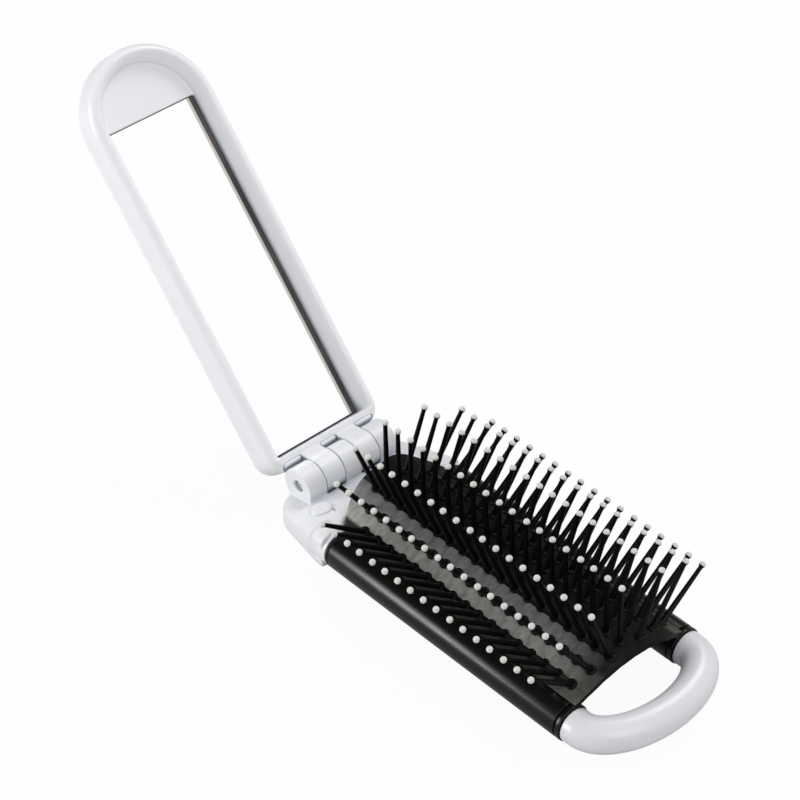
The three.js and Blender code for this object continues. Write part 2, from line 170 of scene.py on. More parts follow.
# Pins: a profile holds shares of the last width above it, and heights in millimetres
FOOT = 1.18 * MM
FOOT_PROFILE = [(1, -0.4), (1, 0.14), (0.86, 0.34), (0.5, 0.42)]
NECK_PROFILE = [(0.68, 0), (0.62, 0.3)]
SHAFT_TOP = 0.46 * MM
SHAFT_FOOT = 0.64 * MM
SHAFT_PROFILE = [(1.12, 0.75), (1, 1.3)]
STRIP_END = 1.1 * MM
STRIP_HALF = 0.68 * MM
STRIP_PROFILE = [(-1, -0.5), (-1, 0.04), (-0.7, 0.2), (0.7, 0.2), (1, 0.04), (1, -0.5)]

# Balls, white down to the latitude of their seam in degrees, and black under it
BALL = 0.71 * MM
BALL_SEAM = -14
UNDERSIDE = [-56, -44, -30, BALL_SEAM]

# Lid, measured along it and out of it from the hinge axis
LID_NEAR = 3.6 * MM
LID_LENGTH = 83.8 * MM
LID_HALF = 15.3 * MM
LID_CORNER = 4.5 * MM
LID_BACK = 8.3 * MM
LID_CREST = 0.7 * MM
LID_FLOOR = 4.1 * MM
FLOOR_HALF = 11.5 * MM
WALL_SLOPE = 2.4 * MM
WALL_ROLL = math.radians(68)
RIM_ROUND = 2.2 * MM
BACK_ROUND = 1.2 * MM
LID_BAR = 0.9 * MM
TAB_END = 5.3 * MM
STEP_END = 5.52 * MM
STEP_DEPTH = 2.3 * MM
BEAD_RADIUS = 0.62 * MM
BEAD_PLACE = 5.17 * MM
BEAD_HEIGHT = -1.5 * MM
BAR_END = 7 * MM

# Mirror in its pocket, and the tape behind and beside it
MIRROR_NEAR = 7.4 * MM
MIRROR_FAR = 83.7 * MM
MIRROR_LOW = -10.1 * MM
MIRROR_HIGH = 11.44 * MM
MIRROR_THICKNESS = 1.2 * MM
MIRROR_BEVEL = 0.75 * MM
MIRROR_GROUND = 0.04 * MM
GROUND_DEPTH = 0.1 * MM
TAPE_GAP = 0.15 * MM
TAPE_THICKNESS = 0.3 * MM
TAPE_BEVEL = 0.12 * MM

# How far cutting and joining forms reach past the surface that they meet, and heights clear of the block
PAST = 1 * MM
FAR_PAST = 3 * MM
CUP_PAST = 6 * MM
BLANK_PAST = 10 * MM
DEEP = -20 * MM
HIGH = 30 * MM
HIDDEN_ROUND = 0.5 * MM

# Fineness of the meshes
POLE = 0.02 * MM
EDGE_STEPS = 5
ROUND_STEPS = 8
DOME_STEPS = 12
RAIL_SIDES = 96
BARREL_SIDES = 96
SPIGOT_SIDES = 48
CUP_SIDES = 64
AXLE_SIDES = 48
HANDLE_SIDES = 72
HANDLE_STEPS = 128
CORNER_STEPS = 24
FRONT_STEPS = 64
BOSS_POINTS = 60
LID_STEPS = 48
WALL_STEPS = 12
BEAD_SIDES = 32
PANEL_STEPS = 6
PAD_STEPS = 120
PIN_SIDES = 16
BALL_STEPS = 9
BLOCK_VOXEL = 0.15 * MM
BLOCK_SMOOTHING = 6
SHOULDER_SMOOTHING = 150
LID_VOXEL = 0.2 * MM
LID_SMOOTHING = 4
SMOOTHING_SHARE = 0.5

# Colours of the pad by place in millimetres from its left to its right, near the hinge and at the handle: the
# dark rubber's tone with painted light on the left panels between the outer rows, which face the low left
# lamp, and painted shade, near black, among the pins and right of the middle
PANEL_SPAN = 16 * MM
PANEL_LIGHT_AND_SHADE = [
    (-15.3, (0.01, 0.01, 0.01)), (-15, (0.024, 0.024, 0.022)), (-12.6, (0.03, 0.03, 0.027)),
    (-12, (0.37, 0.38, 0.352)), (-8.9, (0.33, 0.34, 0.318)), (-7.8, (0.2, 0.205, 0.204)),
    (-4.4, (0.16, 0.164, 0.165)), (-3.8, (0.012, 0.012, 0.012)), (0, (0.005, 0.005, 0.005)),
    (4.4, (0.006, 0.006, 0.006)), (8.9, (0.008, 0.008, 0.008)), (12, (0.015, 0.015, 0.014)),
    (15.3, (0.01, 0.01, 0.01)),
]
# Toward the handle end, past the pins, the colours blend into painted light on the open pad, lighter near
# both rails, with painted shade in its middle
END_TONES_START = 73 * MM
END_LIGHT_AND_SHADE = [
    (-15.3, (0.02, 0.02, 0.018)), (-15, (0.1, 0.098, 0.082)), (-12.6, (0.06, 0.06, 0.05)),
    (-12, (0.08, 0.082, 0.072)), (-8.9, (0.06, 0.062, 0.056)), (-7.8, (0.02, 0.02, 0.018)),
    (0, (0.01, 0.01, 0.01)), (11.5, (0.014, 0.014, 0.013)), (12.6, (0.08, 0.078, 0.066)),
    (15, (0.09, 0.088, 0.074)), (15.3, (0.02, 0.02, 0.018)),
]

# Diagonal flow marks in the pad, and its weak gloss
FLOW_STRETCH = (1, 0.3, 1)
FLOW_DEGREES = 35
FLOW_SCALE = 1100
FLOW_DETAIL = 6
FLOW_MARKS = [(0.3, (0.76, 0.76, 0.75)), (0.7, (1.2, 1.2, 1.19))]
RUBBER_SPECULAR = 0.05

# White plastic: its cast, the drift of its tone, and its painted shade: how shut in a place is where the
# colour is painted grey and where it stays white
WHITE_CAST = (0, 0.005, 0.03)
WHITE_DRIFT = 0.003
COAT_ROUGHNESS = 0.25
HOLLOW_REACH = 5 * MM
HOLLOW_SHUT = 0.42
HOLLOW_OPEN = 0.7
HOLLOW_SHADE = (0.75, 0.78, 0.83)
LID_HOLLOW_SHADE = (0.48, 0.52, 0.59)

# Detail of the noises in the materials, and the values between which a colour drifts
GRAIN_DETAIL = 2
DRIFT_DETAIL = 3
DRIFT_LOW = 0.25
DRIFT_HIGH = 0.75

# Sockets of a colour mix, which share their names with its sockets for other types
MIX_FIRST = 6
MIX_SECOND = 7
MIX_RESULT = 2

# Floor, and the shares of its glow that the camera and reflections see
FLOOR_REACH = 3
FLOOR_COLOUR = (0.62, 0.62, 0.62, 1)
FLOOR_ROUGHNESS = 0.9
FLOOR_GLOW = 1.02
FLOOR_SEEN = 0.93
FLOOR_MIRRORED = 0.22

# World, whose reflection is dark at WORLD_DARK_END of its X direction and white at WORLD_WHITE_END
WORLD_LIGHT = (0.97, 0.98, 1, 1)
WORLD_STRENGTH = 0.5
WORLD_WHITE = (1, 1, 1, 1)
WORLD_DARK_END = -0.3
WORLD_WHITE_END = 0.15
WORLD_DARK = 0.1

# Lamps: name, place, width, height, power, and whether they show in reflections only
LAMP_AIM = (0.03, 0, 0.01)
LAMPS = [
    ("low_left", (-0.49, -0.72, 0.22), 0.22, 0.5, 4.2, False),
    ("rail_glint", (-0.43, -0.74, 0.2), 0.3, 0.12, 2.1, True),
    ("back_right", (-0.05, 0.5, 0.65), 0.35, 0.35, 2.5, False),
    ("front", (0.72, -0.15, 0.55), 0.4, 0.4, 2, False),
]

# Camera
CAMERA_PLACE = Vector((364.6, -301.4, 412.8)) * MM
CAMERA_VIEW = Vector((-0.5823, 0.5085, -0.6343))
CAMERA_RIGHT = Vector((0.669, 0.743, -0.0186))
LENS = 131.06
SENSOR = 36


def node_material(name):
    material = bpy.data.materials.new(name)
    material.use_nodes = True
    nodes = material.node_tree.nodes
    return material, nodes, material.node_tree.links, nodes["Principled BSDF"]


def own_space(nodes, links, stretch=(1, 1, 1), turn=0):
    """The piece's own coordinates, stretched and turned about Z in degrees."""
    place = nodes.new("ShaderNodeTexCoord")
    shift = nodes.new("ShaderNodeMapping")
    shift.inputs["Scale"].default_value = stretch
    shift.inputs["Rotation"].default_value = (0, 0, math.radians(turn))
    links.new(place.outputs["Object"], shift.inputs["Vector"])
    return shift.outputs["Vector"]


def noise_in(nodes, links, space, scale, detail):
    grain = nodes.new("ShaderNodeTexNoise")
    grain.inputs["Scale"].default_value = scale
    grain.inputs["Detail"].default_value = detail
    links.new(space, grain.inputs["Vector"])
    return grain.outputs["Fac"]


def map_range(nodes, links, value, source=(0, 1), target=(0, 1)):
    """A value carried from one range over to another."""
    node = nodes.new("ShaderNodeMapRange")
    node.inputs["From Min"].default_value, node.inputs["From Max"].default_value = source
    node.inputs["To Min"].default_value, node.inputs["To Max"].default_value = target
    links.new(value, node.inputs["Value"])
    return node.outputs["Result"]


def maths(nodes, links, operation, first, second):
    """A maths node on a socket and on a second socket or a number."""
    node = nodes.new("ShaderNodeMath")
    node.operation = operation
    links.new(first, node.inputs[0])
    if isinstance(second, (int, float)):
        node.inputs[1].default_value = second
    else:
        links.new(second, node.inputs[1])
    return node.outputs["Value"]


def colour_mix(nodes, links, first, second, blend_type):
    """A full mix of two colours, as its node."""
    mix = nodes.new("ShaderNodeMix")
    mix.data_type = "RGBA"
    mix.blend_type = blend_type
    mix.inputs["Factor"].default_value = 1
    links.new(first, mix.inputs[MIX_FIRST])
    links.new(second, mix.inputs[MIX_SECOND])
    return mix


def ramp_node(nodes, stops):
    """A colour ramp with its (place, colour) stops in order."""
    ramp = nodes.new("ShaderNodeValToRGB")
    elements = ramp.color_ramp.elements
    while len(elements) < len(stops):
        elements.new(0.5)
    for element, (place, colour) in zip(elements, stops):
        element.position = place
        element.color = (*colour, 1)
    return ramp


def surface_noise(nodes, links, shader, space, grain, rough, bump, depth):
    """Uneven gloss between two values of roughness, and a fine bump."""
    fine = noise_in(nodes, links, space, grain, GRAIN_DETAIL)
    links.new(map_range(nodes, links, fine, target=rough), shader.inputs["Roughness"])
    relief = nodes.new("ShaderNodeBump")
    relief.inputs["Strength"].default_value = bump
    relief.inputs["Distance"].default_value = depth
    links.new(fine, relief.inputs["Height"])
    links.new(relief.outputs["Normal"], shader.inputs["Normal"])


def two_tone(nodes, links, shader, space, scale, dark, light):
    """A slow drift between two close colours."""
    ramp = ramp_node(nodes, [(DRIFT_LOW, dark), (DRIFT_HIGH, light)])
    links.new(noise_in(nodes, links, space, scale, DRIFT_DETAIL), ramp.inputs["Fac"])
    links.new(ramp.outputs["Color"], shader.inputs["Base Color"])


def drifting(
    name, grain, rough, bump, depth, drift, dark, light, specular=0.5, metallic=0, stretch=(1, 1, 1),
):
    """A material whose gloss and relief follow a fine noise and whose colour follows a coarser one."""
    material, nodes, links, shader = node_material(name)
    space = own_space(nodes, links, stretch)
    surface_noise(nodes, links, shader, space, grain, rough, bump, depth)
    two_tone(nodes, links, shader, space, drift, dark, light)
    shader.inputs["Specular IOR Level"].default_value = specular
    shader.inputs["Metallic"].default_value = metallic
    return material


def white_plastic(name, tone, coat, hollow_shade):
    """White plastic with painted shade, greyer in its hollows and joints where it is shut in."""
    steps = (-WHITE_DRIFT, WHITE_DRIFT)
    dark, light = [tuple(tone + step + cast for cast in WHITE_CAST) for step in steps]
    material = drifting(
        name, grain=300, rough=(0.36, 0.42), bump=0.01, depth=0.01 * MM, drift=40, dark=dark, light=light,
    )
    nodes, links = material.node_tree.nodes, material.node_tree.links
    shader = nodes["Principled BSDF"]
    # Painted shade: ambient occlusion darkens the colour in hollows, creases and joints
    hollow = nodes.new("ShaderNodeAmbientOcclusion")
    hollow.inputs["Distance"].default_value = HOLLOW_REACH
    shade = ramp_node(nodes, [(HOLLOW_SHUT, hollow_shade), (HOLLOW_OPEN, (1, 1, 1))])
    links.new(hollow.outputs["AO"], shade.inputs["Fac"])
    plain = shader.inputs["Base Color"].links[0].from_socket
    shaded = colour_mix(nodes, links, plain, shade.outputs["Color"], "MULTIPLY")
    links.new(shaded.outputs[MIX_RESULT], shader.inputs["Base Color"])
    shader.inputs["Coat Weight"].default_value = coat
    shader.inputs["Coat Roughness"].default_value = COAT_ROUGHNESS
    return material


def pad_rubber():
    """Moulded rubber with diagonal flow marks, its dark tone carrying painted light on the left panels and
    painted shade among the pins.
    """
    material, nodes, links, shader = node_material("pad_rubber")
    space = own_space(nodes, links)
    surface_noise(nodes, links, shader, space, grain=2600, rough=(0.5, 0.65), bump=0.35, depth=0.1 * MM)
    place = nodes.new("ShaderNodeTexCoord")
    split = nodes.new("ShaderNodeSeparateXYZ")
    links.new(place.outputs["Object"], split.inputs["Vector"])
    across = map_range(nodes, links, split.outputs["Y"], (-PANEL_SPAN, PANEL_SPAN))
    ahead = map_range(nodes, links, split.outputs["X"], (END_TONES_START, PAD_END - PAD_BOW))
    colours = []
    # Painted light and shade across the pad, one ramp near the hinge and one at the handle end
    for stops in (PANEL_LIGHT_AND_SHADE, END_LIGHT_AND_SHADE):
        ramp = ramp_node(nodes, [((y * MM / PANEL_SPAN + 1) / 2, tone) for y, tone in stops])
        links.new(across, ramp.inputs["Fac"])
        colours.append(ramp.outputs["Color"])
    lit_and_shaded = colour_mix(nodes, links, *colours, "MIX")
    links.new(ahead, lit_and_shaded.inputs["Factor"])
    flow = own_space(nodes, links, FLOW_STRETCH, FLOW_DEGREES)
    marks = ramp_node(nodes, FLOW_MARKS)
    links.new(noise_in(nodes, links, flow, FLOW_SCALE, FLOW_DETAIL), marks.inputs["Fac"])
    marked = colour_mix(nodes, links, lit_and_shaded.outputs[MIX_RESULT], marks.outputs["Color"], "MULTIPLY")
    links.new(marked.outputs[MIX_RESULT], shader.inputs["Base Color"])
    shader.inputs["Specular IOR Level"].default_value = RUBBER_SPECULAR
    return material


# Lit and shaded copies of one white plastic: the lid's copy is painted lighter, with deeper painted shade in
# its recess, and the handle's copy is painted darker as painted shade
WHITE = white_plastic("white_plastic", tone=0.82, coat=0.1, hollow_shade=HOLLOW_SHADE)
LID_LIT_AND_SHADED_WHITE = white_plastic("lid_plastic_lit_and_shaded", tone=0.845, coat=0.1, hollow_shade=LID_HOLLOW_SHADE)
HANDLE_SHADED_WHITE = white_plastic("handle_plastic_shaded", tone=0.72, coat=0.4, hollow_shade=HOLLOW_SHADE)
BLACK = drifting(
    "black_plastic", grain=2200, rough=(0.23, 0.32), bump=0.22, depth=0.05 * MM, drift=400,
    dark=(0.003, 0.003, 0.0028), light=(0.006, 0.006, 0.0055), specular=0.22, stretch=(0.12, 1, 1),
)
PIN_BLACK = drifting(
    "pin_plastic", grain=2500, rough=(0.3, 0.42), bump=0.1, depth=0.03 * MM, drift=200,
    dark=(0.002, 0.002, 0.0018), light=(0.004, 0.004, 0.0035), specular=0.1,
)
BALL_WHITE = drifting(
    "ball_plastic", grain=3000, rough=(0.3, 0.45), bump=0.1, depth=0.03 * MM, drift=700,
    dark=(0.63, 0.63, 0.585), light=(0.69, 0.69, 0.645),
)
RUBBER = pad_rubber()
SILVER = drifting(
    "mirror_silver", grain=40, rough=(0.01, 0.02), bump=0.01, depth=0.01 * MM, drift=20,
    dark=(0.982, 0.988, 0.988), light=(0.988, 0.992, 0.992), metallic=1,
)
GLASS_EDGE = drifting(
    "mirror_edge", grain=500, rough=(0.15, 0.3), bump=0.05, depth=0.03 * MM, drift=300,
    dark=(0.6, 0.58, 0.54), light=(0.7, 0.68, 0.64),
)
FOAM = drifting(
    "dark_foam", grain=3000, rough=(0.75, 0.9), bump=0.5, depth=0.1 * MM, drift=60,
    dark=(0.05, 0.044, 0.043), light=(0.13, 0.11, 0.1),
)
STEEL = drifting(
    "pin_steel", grain=1200, rough=(0.2, 0.35), bump=0.1, depth=0.03 * MM, drift=500,
    dark=(0.62, 0.63, 0.66), light=(0.7, 0.71, 0.74), metallic=1,
)


def mesh_object(name, verts, faces, material):
    mesh = bpy.data.meshes.new(name)
    mesh.from_pydata(verts, [], faces)
    mesh.materials.append(material)
    obj = bpy.data.objects.new(name, mesh)
    bpy.context.scene.collection.objects.link(obj)
    return obj


def tidy_normals(obj, smooth=True):
    work = bmesh.new()
    work.from_mesh(obj.data)
    bmesh.ops.recalc_face_normals(work, faces=work.faces)
    work.to_mesh(obj.data)
    work.free()
    if smooth:
        obj.data.shade_smooth()
    else:
        obj.data.shade_flat()


def repaint(obj, material):
    obj.data.materials.clear()
    obj.data.materials.append(material)


def settle(obj, body, *nodes):
    """The piece stands for its nodes and rides with their body."""
    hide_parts(*nodes)
    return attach(obj, body)


def rings_to_faces(rings, count, closed_ends=True):
    faces = []
    for r in range(rings - 1):
        for i in range(count):
            j = (i + 1) % count
            faces.append((r * count + i, r * count + j, (r + 1) * count + j, (r + 1) * count + i))
    if closed_ends:
        faces.append(tuple(reversed(range(count))))
        faces.append(tuple((rings - 1) * count + i for i in range(count)))
    return faces


def turned(profile, count, closed_ends=True):
    """Rings of (radius, place along X) round the X axis."""
    verts = []
    for radius, along in profile:
        for i in range(count):
            turn = 2 * math.pi * i / count
            verts.append((along, radius * math.cos(turn), radius * math.sin(turn)))
    return verts, rings_to_faces(len(profile), count, closed_ends)


def quarter(steps):
    """Angles from nought to a right angle."""
    return [math.pi / 2 * i / steps for i in range(steps + 1)]


def round_edge(radius, along, edge, outward):
    """Profile points of a rounded edge from the side of a rod onto its end face."""
    return [
        (radius - edge * (1 - math.cos(turn)), along - outward * edge * (1 - math.sin(turn)))
        for turn in quarter(EDGE_STEPS)
    ]


def first_edge(radius, along, edge):
    """The same at a rod's start, from its end face onto its side."""
    return list(reversed(round_edge(radius, along, edge, -1)))


def modified(obj, *settings):
    """Applies modifiers given as (type, {setting: value}) and returns the object with the result."""
    for kind, values in settings:
        modifier = obj.modifiers.new(kind.lower(), kind)
        for key, value in values.items():
            setattr(modifier, key, value)
    bpy.context.view_layer.update()
    graph = bpy.context.evaluated_depsgraph_get()
    result = bpy.data.meshes.new_from_object(obj.evaluated_get(graph))
    obj.modifiers.clear()
    old = obj.data
    obj.data = result
    bpy.data.meshes.remove(old)
    return obj


def combine(base, tools, operation):
    """Joins tools to base, or cuts them from it, and removes the tools."""
    for tool in tools:
        tidy_normals(tool)
        modified(base, ("BOOLEAN", {"object": tool, "operation": operation, "solver": "EXACT"}))
        bpy.data.objects.remove(tool)
    return base


def moulded(obj, voxel, smoothing):
    """A moulded finish: fine even faces whose sharp edges are worn round."""
    modified(
        obj,
        ("REMESH", {"mode": "VOXEL", "voxel_size": voxel, "adaptivity": 0.0}),
        ("SMOOTH", {"factor": SMOOTHING_SHARE, "iterations": smoothing}),
    )
    obj.data.shade_smooth()
    return obj


def turned_y(name, profile, x, z, count, material):
    """A profile of (radius, place along Y) turned round a line along Y."""
    verts, faces = turned(profile, count)
    obj = mesh_object(name, [(x + v[1], v[0], z + v[2]) for v in verts], faces, material)
    tidy_normals(obj)
    return obj


def rod_y(name, radius, x, z, low, high, count=BARREL_SIDES):
    return turned_y(name, [(radius, low), (radius, high)], x, z, count, WHITE)


def rail_rod(name, radius, low, high, side, count, material):
    """A plain rod on the axis of a rail."""
    verts, faces = turned([(radius, low), (radius, high)], count)
    moved = [(v[0], v[1] + side * RAIL_ASIDE, v[2] + RAIL_RADIUS) for v in verts]
    return mesh_object(name, moved, faces, material)


def rail_piece(name, profile, side, material, closed_ends=False):
    """A finished form turned round the axis of a rail."""
    verts, faces = turned(profile, RAIL_SIDES, closed_ends)
    obj = mesh_object(name, verts, faces, material)
    obj.matrix_world = Matrix.Translation((0, side * RAIL_ASIDE, RAIL_RADIUS))
    tidy_normals(obj)
    return obj


def box_piece(name, low, high):
    corners = [(x, y, z) for x in (low[0], high[0]) for y in (low[1], high[1]) for z in (low[2], high[2])]
    faces = [(0, 1, 3, 2), (4, 6, 7, 5), (0, 4, 5, 1), (2, 3, 7, 6), (0, 2, 6, 4), (1, 5, 7, 3)]
    obj = mesh_object(name, corners, faces, WHITE)
    tidy_normals(obj)
    return obj


def arc(cx, cy, radius, start, end, steps, radius_y=None):
    """Points of a round or oval arc between two angles in degrees."""
    radius_y = radius if radius_y is None else radius_y
    points = []
    for i in range(steps + 1):
        turn = math.radians(start + (end - start) * i / steps)
        points.append((cx + radius * math.cos(turn), cy + radius_y * math.sin(turn)))
    return points


def plan_tube(name, route, height, radius, count, material):
    """A round tube along a plan route at one height, its sections square to the route."""
    verts = []
    for i, (x, y) in enumerate(route):
        before = route[max(i - 1, 0)]
        after = route[min(i + 1, len(route) - 1)]
        along = Vector((after[0] - before[0], after[1] - before[1], 0)).normalized()
        aside = Vector((-along.y, along.x, 0))
        for k in range(count):
            turn = 2 * math.pi * k / count
            point = Vector((x, y, height)) + aside * radius * math.cos(turn)
            verts.append(point + Vector((0, 0, radius * math.sin(turn))))
    obj = mesh_object(name, verts, rings_to_faces(len(route), count), material)
    tidy_normals(obj)
    return obj


def dome_points(radius, start):
    """(radius, place) points of a rail's end, flat in its middle and round at its edge."""
    flat = radius - DOME_LENGTH
    points = [(TRUNNION, start)]
    for turn in quarter(DOME_STEPS):
        points.append((flat + DOME_LENGTH * math.sin(turn), start + DOME_LENGTH * (1 - math.cos(turn))))
    return points


def sleeve(low, high, edge):
    """The closed section of a rail or collar, from its socket out to its rounded outer edges."""
    section = [(SOCKET, low)] + first_edge(RAIL_RADIUS, low, edge) + round_edge(RAIL_RADIUS, high, edge, 1)
    return section + [(SOCKET, high), (SOCKET, low)]


def make_rails():
    face = RAIL_START - CLEARANCE
    dome_start = face - DOME_LENGTH
    collar_start = RAIL_END + CLEARANCE
    plug_profile = [(TRUNNION, TRUNNION_START)] + dome_points(RAIL_RADIUS, dome_start)
    plug_profile += [(SPIGOT_RADIUS, face), (SPIGOT_RADIUS, face + SPIGOT_LENGTH)]
    for side, name in ((-1, "left"), (1, "right")):
        rod = rail_piece(name + "_rail_rod", sleeve(RAIL_START, RAIL_END, RAIL_EDGE), side, BLACK)
        settle(rod, name + "_rail", name + "_rail")

        plug = rail_piece(name + "_domed_end", plug_profile, side, BLACK, closed_ends=True)
        settle(plug, name + "_rail", name + "_rail_plug")

        section = sleeve(collar_start, collar_start + COLLAR_WIDTH, COLLAR_EDGE)
        ring = rail_piece(name + "_collar_ring", section, side, BLACK)
        settle(ring, "base", name + "_collar")


def make_handle():
    start = RAIL_END + 2 * CLEARANCE + COLLAR_WIDTH
    bend = start + HANDLE_STUB
    route = [(start, -RAIL_ASIDE), (start + HANDLE_RING, -RAIL_ASIDE)]
    route += arc(bend, 0, HANDLE_REACH, -90, 90, HANDLE_STEPS, RAIL_ASIDE)
    route += [(start + HANDLE_RING, RAIL_ASIDE), (start, RAIL_ASIDE)]
    loop = plan_tube("handle_grip", route, RAIL_RADIUS, HANDLE_RADIUS, HANDLE_SIDES, HANDLE_SHADED_WHITE)
    for side in (-1, 1):
        spigot = rail_rod(
            "spigot", SPIGOT_RADIUS, HANDLE_SPIGOT_START, start + PAST, side, SPIGOT_SIDES, HANDLE_SHADED_WHITE
        )
        combine(loop, [spigot], "UNION")
    loop.data.shade_smooth()
    settle(loop, "base", "handle_loop")


def loft(name, outlines, heights):
    """Outlines of equal count stacked at their heights and closed at both ends."""
    verts = []
    for outline, height in zip(outlines, heights):
        verts += [(x, y, height) for x, y in outline]
    obj = mesh_object(name, verts, rings_to_faces(len(outlines), len(outlines[0])), WHITE)
    tidy_normals(obj)
    return obj


def rounded_blank(name, outline_at, low, high, low_round, high_round):
    """A plan outline made solid between two heights, its lower and upper edges rounded."""
    rings = []
    for turn in quarter(ROUND_STEPS):
        rings.append((low_round * (1 - math.sin(turn)), low + low_round * (1 - math.cos(turn))))
    for turn in quarter(ROUND_STEPS):
        rings.append((high_round * (1 - math.cos(turn)), high - high_round * (1 - math.sin(turn))))
    return loft(name, [outline_at(margin) for margin, _ in rings], [height for _, height in rings])


def block_outline(margin, far):
    """The block from above: two round corners at its back, and sides that flare toward its far end."""
    turn_x = BLOCK_CORNER - BLOCK_BACK
    radius = BLOCK_CORNER - margin
    end = far - margin
    flare = math.radians(FLARE_DEGREES)
    run = end - turn_x + radius * math.sin(flare)
    end_y = CORNER_ASIDE + radius * math.cos(flare) + run * math.tan(flare)
    points = [(end, -end_y), (end, end_y)]
    points += arc(turn_x, CORNER_ASIDE, radius, 90 + FLARE_DEGREES, 180, CORNER_STEPS)
    return points + arc(turn_x, -CORNER_ASIDE, radius, 180, 270 - FLARE_DEGREES, CORNER_STEPS)


def front_outline(margin):
    """The cut along the deck's front edge, which is round toward the hinge."""
    radius = FRONT_RADIUS + margin
    reach = math.degrees(math.asin((FRONT_HALF + margin) / radius))
    points = arc(DECK_FRONT + FRONT_RADIUS, 0, radius, 180 - reach, 180 + reach, FRONT_STEPS)
    return points + [(RAIL_END, points[-1][1]), (RAIL_END, points[0][1])]


def boss_outline(side, margin):
    last_degrees = 360 - 360 / BOSS_POINTS
    length, width = BOSS_LENGTH - margin, BOSS_WIDTH - margin
    return arc(BOSS_AHEAD, side * BOSS_ASIDE, length, 0, last_degrees, BOSS_POINTS - 1, width)


def along_top(obj):
    """Leans a form so that its heights follow the block's rising top."""
    obj.data.transform(Matrix(((1, 0, 0, 0), (0, 1, 0, 0), (TOP_RISE, 0, 1, 0), (0, 0, 0, 1))))
    return obj


def worn_ends(body):
    """Rounds the shoulders' ends more than the rest of the block."""
    group = body.vertex_groups.new(name="ends")
    for vertex in body.data.vertices:
        share = (vertex.co.x - SHOULDER_ROUND_START) / (SHOULDER_END - SHOULDER_ROUND_START)
        if share > 0:
            group.add([vertex.index], min(1, 2 * share), "REPLACE")
    wear = {"factor": SMOOTHING_SHARE, "iterations": SHOULDER_SMOOTHING, "vertex_group": "ends"}
    modified(body, ("SMOOTH", wear))
    body.vertex_groups.clear()
    body.data.shade_smooth()


def block_blank():
    """The block's outer form with its deck's front cut away and rounded."""
    body = along_top(rounded_blank(
        "block_moulding", lambda margin: block_outline(margin, SHOULDER_END + BLANK_PAST), DEEP, BLOCK_TOP,
        HIDDEN_ROUND, TOP_ROUND,
    ))
    foot = rounded_blank(
        "foot", lambda margin: block_outline(margin, SHOULDER_END), 0, HIGH, FOOT_ROUND, HIDDEN_ROUND
    )
    combine(body, [foot], "INTERSECT")
    lips = [(0, DEEP)]
    for turn in quarter(ROUND_STEPS):
        lips.append((LIP_ROUND * (1 - math.cos(turn)), BLOCK_TOP - LIP_ROUND * (1 - math.sin(turn))))
    lips.append((LIP_ROUND, HIGH))
    front = along_top(loft("front_cut", [front_outline(m) for m, _ in lips], [h for _, h in lips]))
    sweeps = [
        rod_y("sweep", BARREL + CLEARANCE, 0, HINGE_HEIGHT, low, high) for low, high in LID_SPACES
    ]
    return combine(body, [front, *sweeps], "DIFFERENCE")


def make_block():
    body = block_blank()
    knuckles = []
    for low, high in BLOCK_KNUCKLES:
        knuckles.append(rod_y("barrel", BARREL, 0, HINGE_HEIGHT, low, high))
        knuckles.append(box_piece(
            "skirt", (0, low, BLOCK_TOP - SKIRT), (BARREL, high, HINGE_HEIGHT + SKIRT_TOP)
        ))
    combine(body, knuckles, "UNION")

    trunnion_bore = TRUNNION + CLEARANCE
    for side in (-1, 1):
        levels = [BLOCK_TOP - GROOVE_DEPTH, BLOCK_TOP + FAR_PAST]
        moat = along_top(loft("moat", [boss_outline(side, -GROOVE_WIDTH)] * 2, levels))
        inner, outer = sorted((side * SLOT_INNER, side * SLOT_OUTER))
        slot = along_top(box_piece(
            "slot", (SLOT_START, inner, BLOCK_TOP - SLOT_DEPTH), (SLOT_END, outer, BLOCK_TOP + PAST)
        ))
        combine(body, [moat, slot], "DIFFERENCE")
        boss = rounded_blank(
            "boss", lambda margin: boss_outline(side, margin), BLOCK_TOP - PAST, BLOCK_TOP + BOSS_RISE, 0,
            BOSS_ROUND,
        )
        combine(body, [along_top(boss)], "UNION")
        cup = rail_rod(
            "cup", trunnion_bore, TRUNNION_START - CLEARANCE, SHOULDER_END + CUP_PAST, side, CUP_SIDES, WHITE
        )
        combine(body, [cup], "DIFFERENCE")

    bore = PIN_RADIUS + CLEARANCE
    wide, past, inside = bore + BORE_CHAMFER + PAST, HINGE_HALF + PAST, HINGE_HALF - BORE_CHAMFER
    profile = [(wide, -past), (bore, -inside), (bore, inside), (wide, past)]
    combine(body, [turned_y("bore", profile, 0, HINGE_HEIGHT, AXLE_SIDES, WHITE)], "DIFFERENCE")
    moulded(body, BLOCK_VOXEL, BLOCK_SMOOTHING)
    worn_ends(body)
    settle(body, "base", "hinge_block")

    section = [(trunnion_bore, TRUNNION_START), (SEAT_RADIUS, TRUNNION_START)]
    section += round_edge(SEAT_RADIUS, SEAT_END, SEAT_EDGE, 1)
    section += [(trunnion_bore, SEAT_END), (trunnion_bore, TRUNNION_START)]
    for side, name in ((-1, "left"), (1, "right")):
        seat = rail_piece(name + "_rail_seat", section, side, WHITE)
        settle(seat, "base", "hinge_block")


def lid_outline(margin):
    """The lid from above: round at its far end, with small corners near the hinge."""
    half = LID_HALF - margin
    corner = LID_CORNER - margin
    near = LID_NEAR + margin
    points = arc(LID_LENGTH, 0, half, -90, 90, LID_STEPS)
    points += arc(near + corner, half - corner, corner, 90, 180, LID_STEPS // 4)
    points += arc(near + corner, corner - half, corner, 180, 270, LID_STEPS // 4)
    return points


def recess_outline(margin):
    half = FLOOR_HALF + margin
    return arc(LID_LENGTH, 0, half, -90, 90, LID_STEPS) + [(BAR_END, half), (BAR_END, -half)]


